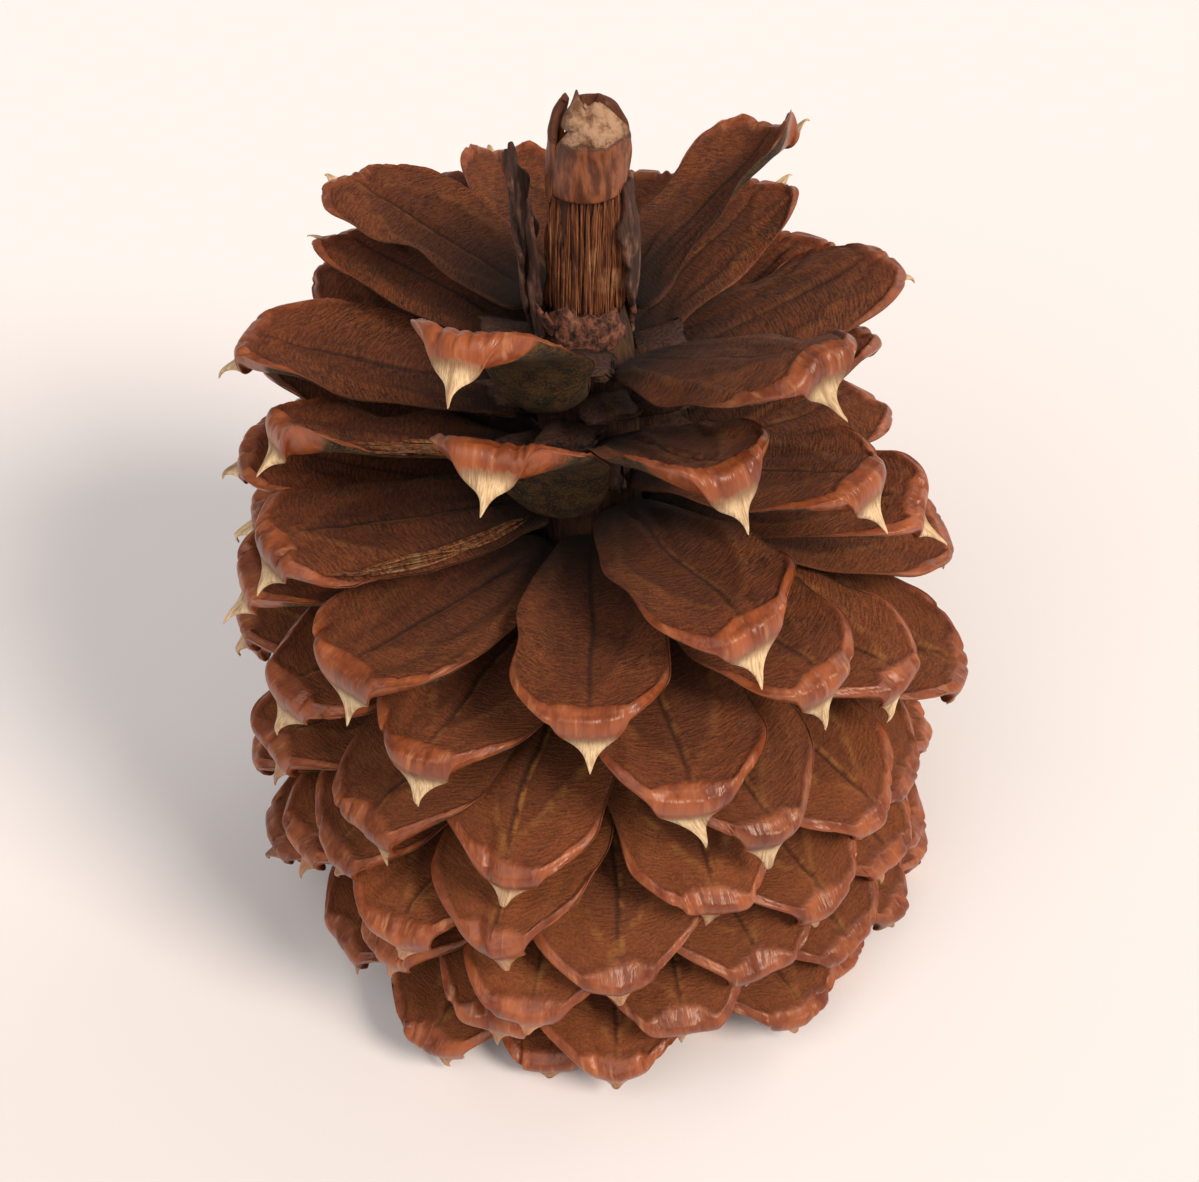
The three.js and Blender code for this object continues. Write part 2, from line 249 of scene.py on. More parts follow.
def set_on_axis(points, stand):
    """Bends a straight scale onto its place. points are millimetres, Y along the scale."""
    x, y, z = points.T
    depth = min(1.0, stand.size)
    grid = np.linspace(0, 1, 81)
    angles = stand.pitch + stand.bend * (0.45 - grid)
    step = stand.length / 80
    out_grid = np.concatenate([[0], np.cumsum(np.cos(angles[:-1] / 2 + angles[1:] / 2))]) * step
    up_grid = np.concatenate([[0], np.cumsum(np.sin(angles[:-1] / 2 + angles[1:] / 2))]) * step
    share = np.clip(y / MODEL_LENGTH, 0, 1)
    beyond = np.where(y > MODEL_LENGTH, (y - MODEL_LENGTH) * depth, np.minimum(y, 0))
    angle = stand.pitch + stand.bend * (0.45 - 0.94 * share)
    outward = np.array([math.sin(stand.azimuth), -math.cos(stand.azimuth), 0.0])
    across = np.array([math.cos(stand.azimuth), math.sin(stand.azimuth), 0.0])
    out = AXIS_RADIUS + GAP + 1.2 + np.interp(share, grid, out_grid) + beyond * np.cos(angle)
    up = stand.height + np.interp(share, grid, up_grid) + beyond * np.sin(angle)
    forward = np.cos(angle)[:, None] * outward + np.sin(angle)[:, None] * UP
    side = across * math.cos(stand.roll) + np.cross(forward, across) * math.sin(stand.roll)
    normal = -np.cross(side, forward)
    width = max(stand.size, 0.55)
    middle = out[:, None] * outward + up[:, None] * UP
    return middle + side * (x * width)[:, None] + normal * (z * depth)[:, None]


# ---------------------------------------------------------------- modelling helpers


def start_clean():
    """Leaves edit mode and deselects everything: an operator acts on all that is selected."""
    if bpy.context.object and bpy.context.object.mode != "OBJECT":
        bpy.ops.object.mode_set(mode="OBJECT")
    bpy.ops.object.select_all(action="DESELECT")


def added(name):
    """Names the primitive that was just added."""
    piece = bpy.context.object
    piece.name = name
    piece.data.name = name
    return piece


def points_of(mesh):
    flat = np.empty(len(mesh.vertices) * 3)
    mesh.vertices.foreach_get("co", flat)
    return flat.reshape(-1, 3)


def put_points(mesh, points):
    mesh.vertices.foreach_set("co", np.asarray(points, float).ravel())
    mesh.update()


def note(mesh, name, values):
    """Stores three numbers a vertex for the materials to read."""
    if name not in mesh.attributes:
        mesh.attributes.new(name, "FLOAT_VECTOR", "POINT")
    mesh.attributes[name].data.foreach_set("vector", np.asarray(values, float).ravel())


def extruded(name, rings):
    """A closed piece: a filled circle on the first ring of points, extruded through the others
    with the operator used by hand."""
    start_clean()
    bpy.ops.mesh.primitive_circle_add(vertices=len(rings[0]), radius=1, fill_type="NGON")
    piece = added(name)
    put_points(piece.data, rings[0])
    bpy.ops.object.mode_set(mode="EDIT")
    bpy.ops.mesh.select_mode(type="FACE")
    bpy.ops.mesh.select_all(action="SELECT")
    for ring in rings[1:]:
        bpy.ops.mesh.extrude_region_move(TRANSFORM_OT_translate={"value": (0, 0, 0)})
        cap = next(f for f in bmesh.from_edit_mesh(piece.data).faces if f.select)
        for corner, point in zip(sorted(cap.verts, key=lambda v: v.index), ring):
            corner.co = Vector(point)
        bmesh.update_edit_mesh(piece.data)
    bpy.ops.mesh.select_all(action="SELECT")
    bpy.ops.mesh.normals_make_consistent(inside=False)
    bpy.ops.object.mode_set(mode="OBJECT")
    return piece


def new_piece(name, mesh):
    """An object for a copied mesh."""
    piece = bpy.data.objects.new(name, mesh)
    bpy.context.scene.collection.objects.link(piece)
    return piece


def to_metres(piece):
    put_points(piece.data, points_of(piece.data) * MM)


def apply_subdivision(piece, levels):
    smoothing = piece.modifiers.new("Smooth form", "SUBSURF")
    smoothing.levels = smoothing.render_levels = levels
    bpy.context.view_layer.objects.active = piece
    bpy.ops.object.modifier_apply(modifier="Smooth form")


def lean_tip(piece):
    """The tip leans a little to the right of the axis above the free scales."""
    points = points_of(piece.data)
    points[:, 0] += TIP_LEAN * np.maximum(points[:, 2] - (COLLAR_HEIGHT - 2) * MM, 0)
    put_points(piece.data, points)


def shade_smooth(piece):
    piece.data.polygons.foreach_set("use_smooth", [True] * len(piece.data.polygons))
    piece.data.update()


def dress(piece, material, slot, *nodes):
    """Gives a finished piece its material and its place in the frame."""
    piece.data.materials.clear()
    piece.data.materials.append(material)
    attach(piece, "root")
    if nodes:
        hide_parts(*nodes)
    return piece


def join(pieces, name):
    start_clean()
    for piece in pieces:
        piece.select_set(True)
    bpy.context.view_layer.objects.active = pieces[0]
    if len(pieces) > 1:
        bpy.ops.object.join()
    joined = bpy.context.view_layer.objects.active
    joined.name = name
    joined.data.name = name
    return joined


# ---------------------------------------------------------------- the one modelled scale


def ring_points(along, height, half_width, above, below, lean):
    """One closed ring of the scale: flat above, keeled below where it is thick."""
    keel = 1.0 + 0.6 * min(1.0, max(0.0, (below - 1.5) / 2.5))
    if half_width < 5:
        keel = 1.0
    tilt = math.radians(lean)
    ring = []
    for k in range(RING_POINTS):
        turn = 2 * math.pi * k / RING_POINTS
        cos, sin = math.cos(turn), math.sin(turn)
        x = half_width * math.copysign(abs(cos) ** 0.85, cos)
        rise = above * sin**0.75 if sin >= 0 else -below * (-sin) ** keel
        y, z = along + rise * math.sin(tilt), height + rise * math.cos(tilt)
        ring.append(Vector((x, y, z)))
    return ring


def model_scale():
    """The scale that all are copied from, in millimetres: extruded ring by ring and subdivided.
    Returns it with each vertex's rise around the ring and ring number."""
    rings = [ring_points(*ring) for ring in RINGS]
    scale = extruded("scale_model", rings)
    mesh = scale.data
    # The numbers along and around the scale ride through the subdivision.
    found = {}
    for row, ring in enumerate(rings):
        for k, point in enumerate(ring):
            found[tuple(round(c, 3) for c in point)] = (k, row)
    keys = [found[tuple(round(float(c), 3) for c in point)] for point in points_of(mesh)]
    layer = mesh.uv_layers.new(name="OFBake")
    for face in mesh.polygons:
        corners = [keys[mesh.loops[i].vertex_index] for i in face.loop_indices]
        wraps = max(k for k, _ in corners) - min(k for k, _ in corners) > RING_POINTS / 2
        for i, (k, row) in zip(face.loop_indices, corners):
            around = k + RING_POINTS if wraps and k < RING_POINTS / 2 else k
            spot = (0.86 * around / RING_POINTS, row / (len(rings) - 1))
            if len(corners) > 4:
                # The end caps have small islands of their own.
                middle, wide, high = (0.97, 0.01, 0.01) if row else (0.04, 0.04, 0.03)
                turn = 2 * math.pi * k / RING_POINTS
                spot = (0.94 + wide * math.cos(turn), middle + high * math.sin(turn))
            layer.data[i].uv = spot
    carried = {
        "rise": [math.sin(2 * math.pi * k / RING_POINTS) for k, _ in keys],
        "row": [float(row) for _, row in keys],
    }
    for key, values in carried.items():
        mesh.attributes.new(key, "FLOAT", "POINT").data.foreach_set("value", values)
    apply_subdivision(scale, 2)
    shade_smooth(scale)
    scale.hide_render = True
    for key in carried:
        carried[key] = np.empty(len(mesh.vertices))
        mesh.attributes[key].data.foreach_get("value", carried[key])
        mesh.attributes.remove(mesh.attributes[key])
    return scale, SimpleNamespace(points=points_of(mesh), **carried)


RING_ALONG = np.array([ring[0] for ring in RINGS[:10]])
RING_WIDTH = np.array([ring[2] for ring in RINGS[:10]])


def weather(model, stand):
    """The scale's own form: relief of its upper face, margins, creases and drying. Returns its
    points in millimetres and the numbers that its material reads."""
    place = stand.place
    rng = np.random.default_rng(1000 + place)
    own = DRIED.get(place, {})
    x, y, z = model.points.T.copy()
    row = model.row
    top = smooth(model.rise, -0.12, 0.3)
    width = np.interp(y, RING_ALONG, RING_WIDTH)
    across = np.clip(x / width, -1.2, 1.2)

    # Lines on the upper face: the midrib and the outlines that two seed wings left.
    midrib = x - 0.5 * ripple(y, rng, 3, 0.35) - 0.3 * rng.standard_normal()
    spread = 8.6 * np.sin(np.clip((y - 2) / 43, 0, 1) * math.pi) ** 0.8 + 0.4
    wing = np.abs(x + 0.7 * ripple(y, rng, 3, 0.3)) - spread - 0.6 * ripple(y, rng, 3, 0.4)
    band = 0.5 + 3.3 * smooth(y, 33, 48) + 0.6 * ripple(x + 0.6 * y, rng, 4, 0.9)
    rim = np.minimum((width - np.abs(x)) * 1.5, 51.2 - y + 0.02 * x * x) - band
    rim = np.where(top > 0.5, rim, -4.0)
    rim = np.where(row > 9.6, -4.0, rim)
    below = np.where(model.rise < 0.05, (row - FACE_RING) * 3.0, 6.0)
    umbo = (row - UMBO_RING) * 1.1

    # Relief, in millimetres.
    face = top * (1 - smooth(y, 44, 48)) * smooth(y, 3, 10)
    lift = -0.5 * np.exp(-((midrib / 0.7) ** 2)) * face
    lift += 0.3 * np.exp(-(((np.abs(midrib) - 1.3) / 0.9) ** 2)) * face
    lift += rng.uniform(0.15, 0.45) * np.exp(-((wing / 0.8) ** 2)) * face
    lift -= 0.7 * (1 - across**2) * smooth(y, 12, 26) * (1 - smooth(y, 40, 47)) * top
    lift += 0.55 * np.exp(-(((rim + 0.5) / 0.7) ** 2)) * smooth(y, 26, 42) * top
    lift -= 0.35 * np.exp(-(((rim - 0.9) / 0.6) ** 2)) * smooth(y, 30, 42) * top
    for _ in range(7):
        lean, bend = rng.normal(0, 0.22), rng.normal(0, 0.006)
        off = x - rng.uniform(-10, 10) - lean * (y - 25) - bend * (y - 25) ** 2
        lift += rng.uniform(-0.6, 0.6) * np.exp(-((off / rng.uniform(0.5, 1.4)) ** 2)) * face
    lift += 0.5 * ripple(0.5 * x + y, rng, 5, 0.55) * ripple(x, rng, 3, 0.4) * face
    lift += 0.12 * ripple(1.3 * y + 0.02 * x * x, rng, 5, 2.6) * face
    z += lift
    outer = smooth(row, 6.6, 8.0) * (1 - smooth(row, 10.0, 11.6))
    for _ in range(6):
        middle = rng.uniform(-10, 10)
        crease = np.exp(-(((x - middle - 0.15 * (y - 45)) / rng.uniform(0.3, 0.7)) ** 2))
        dent = rng.uniform(0.25, 0.8) * crease * outer
        y -= 0.8 * dent
        z -= 0.6 * dent * top
    folds = ripple(x, rng, 4, 1.6) * outer * (1 - 0.6 * top)
    y += 0.15 * folds
    uneven = 1.1 * ripple(x, rng, 4, 0.5) + 0.07 * x * rng.standard_normal()
    y += smooth(y, 36, 48) * (1 - smooth(row, 15.5, 17.5)) * uneven
    pointed = min(1.0, max(0.15, (place - 2) / 14)) * rng.uniform(0.6, 1.1)
    x *= 1 - 0.2 * pointed * smooth(y, 40, 51) * (1 - smooth(row, 11, 12.5))
    y += pointed * 1.6 * (1 - np.abs(across)) * smooth(y, 42, 50) * (1 - smooth(row, 15.5, 17.5))
    belly = own.get("belly", 0.0) * np.exp(-(((y - 11) / 8.5) ** 2))
    z -= belly * np.sqrt(np.clip(1 - across**2, 0, 1)) * (1 - top)

    # The spine: longest on the upper scales, worn down on the lower ones, hooked a little.
    worn = np.clip((place - 22) / 18, 0, 1) * 0.55 + 0.12 * rng.random()
    tip = smooth(row, 12.5, 17)
    outward = min(1.4, max(0.0, 0.7 - math.cos(stand.azimuth)))
    if stand.thin:
        z = np.where(z < 0, z * THIN_END, z)
        outward = 1.7
    y += 4.0 * outward * smooth(row, 11.0, 17)
    z += 2.4 * outward * smooth(row, 11.5, 17)
    hook = rng.uniform(-0.8, 1.2)
    x += tip * rng.normal(0, 0.7)
    y += tip * hook
    z += tip * worn * 5.5

    # Drying: margins that rise or fall, a narrower blade, a turned end.
    side = smooth(y, 4, 20) * (1 - 0.6 * smooth(row, 10, 13))
    waves = own.get("waves", 1.5) * ripple(y + 20 * np.sign(x), rng, 4, 0.4)
    z += side * np.abs(across) ** 2.2 * waves
    x += side * 0.9 * across**3 * ripple(y + 31 * np.sign(x), rng, 5, 0.5)
    cup = own.get("cup", rng.uniform(0.0, 1.2))
    z += side * (cup * across**2)
    z += side * own.get("near", 0.0) * np.clip(across, 0, 1.2) ** 2
    z += side * own.get("far", 0.0) * np.clip(-across, 0, 1.2) ** 2
    x *= 1 + smooth(y, 2, 12) * (own.get("slim", rng.uniform(0.94, 1.03)) - 1)
    x += rng.normal(0, 0.7) * (y / 50) ** 2 + 0.35 * ripple(y, rng, 3, 0.5) * smooth(y, 4, 15)
    turn = np.radians(own.get("twist", rng.normal(0, 3))) * np.clip(y / 50, 0, 1)
    x, z = x * np.cos(turn) - z * np.sin(turn), x * np.sin(turn) + z * np.cos(turn)

    points = np.stack([x, y, z], 1)
    tone = rng.uniform(0, 1)
    golden = rng.uniform(0.0, 0.35) + 0.5 * min(1.0, max(0.0, (place - 4) / 12))
    pale = 1.0 if place < 14 else max(0.3, 1 - (place - 14) / 26)
    numbers = {
        "blade": np.stack([model.points[:, 0], model.points[:, 1], np.where(top > 0.5, 0, 1)], 1),
        "borders": np.stack([rim, below, umbo], 1),
        "veins": np.stack([midrib, wing, row], 1),
        "own": np.tile([rng.uniform(0, 40), tone, pale], (len(x), 1)),
        "gold": np.tile([golden, min(1.0, max(0.0, (place + 5) / 40)), 0.0], (len(x), 1)),
    }
    return points, numbers


def copy_scale(model_object, model, place, name, tile=(0.0, 0.0, 1.0)):
    """One scale of the cone: its own copy of the model, weathered and set on its place."""
    stand = stand_of(place)
    points, numbers = weather(model, stand)
    mesh = model_object.data.copy()
    mesh.name = name
    put_points(mesh, np.maximum(set_on_axis(points, stand), [-1e3, -1e3, 0.0]) * MM)
    mesh.flip_normals()  # set_on_axis mirrors the scale, so its faces are turned out again
    for key, values in numbers.items():
        note(mesh, key, values)
    left, low, size = tile
    layer = mesh.uv_layers["OFBake"]
    spots = np.empty(len(mesh.loops) * 2)
    layer.uv.foreach_get("vector", spots)
    spots = spots.reshape(-1, 2) * (size * 0.98) + (left + size * 0.01, low + size * 0.01)
    layer.uv.foreach_set("vector", spots.ravel())
    return new_piece(name, mesh)


# ---------------------------------------------------------------- materials


def add(tree, kind, inputs=(), out=0, **settings):
    """Adds a node with its settings and links, and returns one of its outputs. inputs maps a
    socket to a value or to another node's output."""
    node = tree.nodes.new("ShaderNode" + kind)
    for key, value in settings.items():
        setattr(node, key, value)
    for socket, value in dict(inputs).items():
        if isinstance(value, bpy.types.NodeSocket):
            tree.links.new(value, node.inputs[socket])
        else:
            node.inputs[socket].default_value = value
    return node.outputs[out] if node.outputs else None


def shown(tree, cover, *masks):
    """How much of a layer shows: its cover times its masks. A mask is a value, where the layer
    starts and where it is full."""
    for value, start, full in masks:
        mask = add(
            tree, "MapRange", {0: value, 1: start, 2: full}, interpolation_type="SMOOTHSTEP"
        )
        cover = add(tree, "Math", {0: mask, 1: cover}, operation="MULTIPLY")
    return cover


def layered(tree, colour, layers):
    """Lays tints over a colour, one after another. A layer is its tint, cover and masks."""
    for tint, *parts in layers:
        share = shown(tree, *parts)
        colour = add(tree, "Mix", {0: share, 6: colour, 7: tint}, 2, data_type="RGBA")
    return colour


def grain_up_axis(tree, place, across, along, detail=4.0, roughness=0.55):
    """Grain with so many spots in a millimetre across the axis and along it."""
    spots = (across / MM, across / MM, along / MM)
    scaled = add(tree, "Mapping", {"Vector": place, "Scale": spots})
    look = {"Vector": scaled, "Scale": 1.0, "Detail": detail, "Roughness": roughness}
    return add(tree, "TexNoise", look)


def new_material(name):
    material = bpy.data.materials.new(name)
    material.use_nodes = True
    material.node_tree.nodes.clear()
    return material, material.node_tree


def finish_material(tree, colour, roughness, height, bump_mm, specular=0.5):
    """Closes a material: bump from a height in shares of bump_mm, and the surface."""
    bump = add(tree, "Bump", {"Height": height, "Distance": bump_mm * MM, "Strength": 1.0})
    look = {"Base Color": colour, "Roughness": roughness, "Normal": bump}
    look["Specular IOR Level"] = specular
    surface = add(tree, "BsdfPrincipled", look)
    add(tree, "OutputMaterial", {"Surface": surface})


def dry_scale_wood(name, colours):
    """Dry lignified cone scale. The upper face is a velvety, finely ribbed brown, the outer rim
    is a smooth waxy red-brown that shines, the umbo is dull ivory, the underside fuzzy olive."""
    material, tree = new_material(name)
    # What weather() keeps for every vertex.
    blade, borders, veins, own, age = (
        add(
            tree,
            "SeparateXYZ",
            {0: add(tree, "Attribute", out="Vector", attribute_name=key)},
        ).node.outputs
        for key in ("blade", "borders", "veins", "own", "gold")
    )
    x, y, side = blade
    rim, below, umbo = borders
    midrib, wing, ring = veins
    shift, tone, pale = own
    golden, sunned, _ = age

    # Millimetres on the scale, moved by a drawn amount so that no two scales match.
    x_moved = add(tree, "Math", {0: x, 1: shift}, operation="ADD")
    y_moved = add(tree, "Math", {0: shift, 1: 3.7, 2: y}, operation="MULTIPLY_ADD")
    squared = add(tree, "Math", {0: x, 1: x}, operation="MULTIPLY")
    arched = add(tree, "Math", {0: squared, 1: 0.03, 2: y_moved}, operation="MULTIPLY_ADD")
    # Ribs are really 0.2 mm apart, drawn 0.5 mm apart so that they show. They run across the
    # blade and arch towards its end. Folds 1.5 mm apart run down over the rim, and the streaks
    # of the umbo run to its point.
    ribs_at, folds_at, streaks_at, spots_at = (
        add(
            tree,
            "VectorMath",
            {0: add(tree, "CombineXYZ", {0: x_moved, 1: along, 2: third}), 1: spots_in_mm},
            operation="MULTIPLY",
        )
        for along, third, spots_in_mm in [
            (arched, side, (0.5, 2.0, 1.0)),
            (y_moved, ring, (0.65, 0.16, 0.16)),
            (y_moved, ring, (2.2, 0.0, 0.5)),
            (y_moved, side, (1.0, 1.0, 31.0)),
        ]
    )
    ribs, folds, streaks, patches, grain, gaps, mottle, rim_wear, stain, umbo_wear = (
        add(
            tree,
            "TexNoise",
            {"Vector": at, "Scale": scale, "Detail": detail, "Roughness": roughness},
        )
        for at, scale, detail, roughness in [
            (ribs_at, 1.0, 4.0, 0.65),
            (folds_at, 1.0, 3.0, 0.6),
            (streaks_at, 1.0, 3.0, 0.65),
            (spots_at, 0.18, 4.0, 0.65),
            (spots_at, 2.2, 4.0, 0.75),
            (spots_at, 0.35, 2.0, 0.55),
            (spots_at, 0.35, 4.0, 0.55),
            (spots_at, 0.6, 4.0, 0.55),
            (spots_at, 0.45, 3.0, 0.55),
            (spots_at, 0.9, 3.0, 0.55),
        ]
    )
    # The borders between the finishes are ragged.
    ragged_rim, ragged_under, ragged_umbo = (
        add(tree, "Math", {0: wear, 1: depth, 2: border}, operation="MULTIPLY_ADD")
        for wear, depth, border in [
            (rim_wear, 1.5, rim),
            (patches, 3.0, below),
            (umbo_wear, 1.4, umbo),
        ]
    )
    from_midrib, from_painted_highlight, from_wing, from_painted_crease_shade = (
        add(
            tree,
            "Math",
            {0: add(tree, "Math", {0: value, 1: line}, operation="SUBTRACT")},
            operation="ABSOLUTE",
        )
        for value, line in [(midrib, 0.0), (midrib, 0.55), (wing, 0.0), (ragged_rim, 1.25)]
    )
    bleached, faint = (
        add(tree, "Math", {0: value, 1: share}, operation="MULTIPLY")
        for value, share in [(sunned, 0.7), (golden, 0.75)]
    )
    face = layered(
        tree,
        colours.face_dark,
        [
            (colours.face_light, 1.0, (patches, 0.3, 0.7)),
            (colours.face_sunned, bleached),
            (colours.face_rib, 0.6, (ribs, 0.43, 0.6)),
            (colours.face_fuzz, 0.3, (grain, 0.48, 0.64)),
            (colours.root, 0.4, (grain, 0.5, 0.36)),
            (colours.face_dark, 0.4, (wing, 1.2, -1.6), (y, 46.0, 38.0)),
            # A dark line down the midrib groove, and beside it a golden line on one wall of the
            # groove: the midrib's own golden colour, partly a painted highlight.
            (colours.root, 0.65, (from_midrib, 0.8, 0.1)),
            (colours.vein_and_highlight, golden, (from_painted_highlight, 0.6, 0.12), (gaps, 0.38, 0.62)),
            (colours.vein_and_highlight, faint, (from_wing, 1.3, 0.1), (gaps, 0.38, 0.62)),
            # Darker towards the root: the blade's own dark colour there, and painted shade where
            # the scales crowd the axis.
            (colours.root, 1.0, (y, 30.0, 1.0)),
            (colours.rim_dark, 0.4, (y, 32.0, 50.0)),
        ],
    )
    rim_colour = layered(
        tree,
        colours.rim_dark,
        [
            (colours.rim_light, 1.0, (patches, 0.32, 0.68)),
            # Lighter fold ridges on the rim: wear, and partly a painted highlight.
            (colours.rim_worn_and_highlight, 0.4, (folds, 0.55, 0.75)),
            (colours.rim_dark, 0.35, (grain, 0.6, 0.8)),
        ],
    )
    under = layered(
        tree,
        colours.under_dark,
        [
            (colours.under_light, 1.0, (mottle, 0.35, 0.65)),
            (colours.under_fuzz, 0.45, (grain, 0.48, 0.64)),
            (colours.under_dark, 0.7, (grain, 0.5, 0.38)),
        ],
    )
    ivory = layered(
        tree,
        colours.umbo_dark,
        [
            (colours.umbo_light, 1.0, (streaks, 0.25, 0.6)),
            (colours.umbo_base, 0.7, (stain, 0.5, 0.7)),
            (colours.umbo_base, 1.0, (umbo, 2.0, 0.0)),
            (colours.tip, 1.0, (umbo, 5.2, 6.2)),
        ],
    )
    # The rim fades towards the root of the scale.
    strength = {0: y, 1: 30.0, 2: 46.0, 3: 0.45, 4: 1.0}
    rim_strength = add(tree, "MapRange", strength, interpolation_type="SMOOTHSTEP")
    rim_share = shown(tree, rim_strength, (ragged_rim, 2.05, -0.25))
    under_share = shown(tree, 1.0, (ragged_under, 2.5, 0.5))
    umbo_share = shown(tree, pale, (ragged_umbo, 0.4, 1.0))
    colour = layered(
        tree,
        face,
        [
            (rim_colour, rim_share),
            # A thin line of painted shade in the crease along the inner border of the rim.
            (colours.face_dark, 0.2, (from_painted_crease_shade, 0.9, 0.2)),
            (under, under_share),
            (ivory, umbo_share),
        ],
    )
    # Each scale is a little lighter or darker than its neighbours.
    shade = add(tree, "Math", {0: tone, 1: 0.3, 2: 0.85}, operation="MULTIPLY_ADD")
    colour = add(
        tree, "Mix", {0: 1.0, 6: colour, 7: shade}, 2, data_type="RGBA", blend_type="MULTIPLY"
    )

    waxy = add(tree, "Math", {0: rim_share, 1: -0.5, 2: 0.725}, operation="MULTIPLY_ADD")
    waxy = add(tree, "Math", {0: patches, 1: 0.25, 2: waxy}, operation="MULTIPLY_ADD")
    dull = add(tree, "Math", {0: under_share, 1: umbo_share}, operation="MAXIMUM")
    dull = add(tree, "Math", {0: dull, 1: 0.85}, operation="MULTIPLY")
    roughness = add(tree, "Math", {0: waxy, 1: dull}, operation="MAXIMUM")
    ribbed, folded, streaked = (
        add(tree, "Math", {0: value, 1: share}, operation="MULTIPLY")
        for value, share in [(ribs, 0.8), (folds, 0.35), (streaks, 0.6)]
    )
    height = add(tree, "Math", {0: grain, 1: 0.35, 2: ribbed}, operation="MULTIPLY_ADD")
    for share, relief in [(rim_share, folded), (under_share, grain), (umbo_share, streaked)]:
        height = add(tree, "Mix", {0: share, 2: height, 3: relief})
    finish_material(tree, colour, roughness, height, 0.85, specular=0.42)
    return material


def stump_wood(name, dark, light, fleck, bump_mm=0.6, fibre=(1.6, 0.12)):
    """Broken or torn woody tissue with fibres that run up the axis. It is matt and splintered.
    fibre is how many fit in a millimetre across the axis and along it."""
    material, tree = new_material(name)
    place = add(tree, "TexCoord", out="Object")
    strands = grain_up_axis(tree, place, *fibre, roughness=0.65)
    patches = grain_up_axis(tree, place, 0.3, 0.18)
    colour = layered(
        tree, dark, [(light, 1.0, (strands, 0.34, 0.66)), (fleck, 0.6, (patches, 0.52, 0.7))]
    )
    height = add(tree, "Math", {0: patches, 1: 0.6, 2: strands}, operation="MULTIPLY_ADD")
    finish_material(tree, colour, 0.85, height, bump_mm)
    return material


def tip_scale_wood(name, colours):
    """The closed scales of the tip: a smooth waxy band, brown above it, and a pale fuzzy patch
    on the front where the umbo is."""
    material, tree = new_material(name)
    place = add(tree, "TexCoord", out="Object")
    streaks = grain_up_axis(tree, place, 0.7, 0.2, roughness=0.6)
    wool = grain_up_axis(tree, place, 0.45, 0.45, 6.0, 0.7)
    up = add(tree, "SeparateXYZ", {0: place}, 2)
    centre = tuple(c * MM for c in UMBO_OF_TIP)
    apart = add(tree, "VectorMath", {0: place, 1: centre}, "Value", operation="DISTANCE")
    # Millimetres up and from the umbo, with ragged borders.
    edge, reach = (
        add(
            tree,
            "Math",
            {0: wool, 1: 4.0, 2: add(tree, "Math", {0: far, 1: MM}, operation="DIVIDE")},
            operation="MULTIPLY_ADD",
        )
        for far in (up, apart)
    )
    above_band = (edge, CAP_HEIGHT + 10.2, CAP_HEIGHT + 11.2)
    above = shown(tree, 1.0, above_band)
    fuzz = layered(tree, colours.tip_fuzz_dark, [(colours.tip_fuzz_light, 1.0, (wool, 0.35, 0.6))])
    colour = layered(
        tree,
        colours.tip_band_dark,
        [
            (colours.tip_band_light, 1.0, (streaks, 0.35, 0.65)),
            (colours.tip_band_dark, 0.8, above_band),
            (fuzz, above, (reach, 8.4, 6.2)),
        ],
    )
    roughness = add(tree, "Math", {0: above, 1: 0.35, 2: 0.5}, operation="MULTIPLY_ADD")
    woolly = add(tree, "Math", {0: wool, 1: above}, operation="MULTIPLY")
    height = add(tree, "Math", {0: streaks, 1: 0.5, 2: woolly}, operation="MULTIPLY_ADD")
    finish_material(tree, colour, roughness, height, 0.8)
    return material


def pale_floor(name):
    """Matt pale paper sweep, plain, so that it only shows the cone's soft shadow."""
    material, tree = new_material(name)
    surface = add(tree, "BsdfPrincipled", {"Base Color": linear("#edf1fa"), "Roughness": 0.9})
    add(tree, "OutputMaterial", {"Surface": surface})
    return material


def material_of(name, maker, *details):
    return bpy.data.materials.get(name) or maker(name, *details)


def colours_of(context):
    """The colours of the panel by name, as linear RGBA."""
    palette = context.scene.pine_cone_colours
    tones = {key: (*getattr(palette, key), 1.0) for key in palette.__annotations__}
    return SimpleNamespace(**tones)


# ---------------------------------------------------------------- settings


def colour_property(name, description, hex_colour):
    return bpy.props.FloatVectorProperty(
        name=name,
        description=description,
        subtype="COLOR",
        size=3,
        min=0,
        max=1,
        default=linear(hex_colour)[:3],
    )


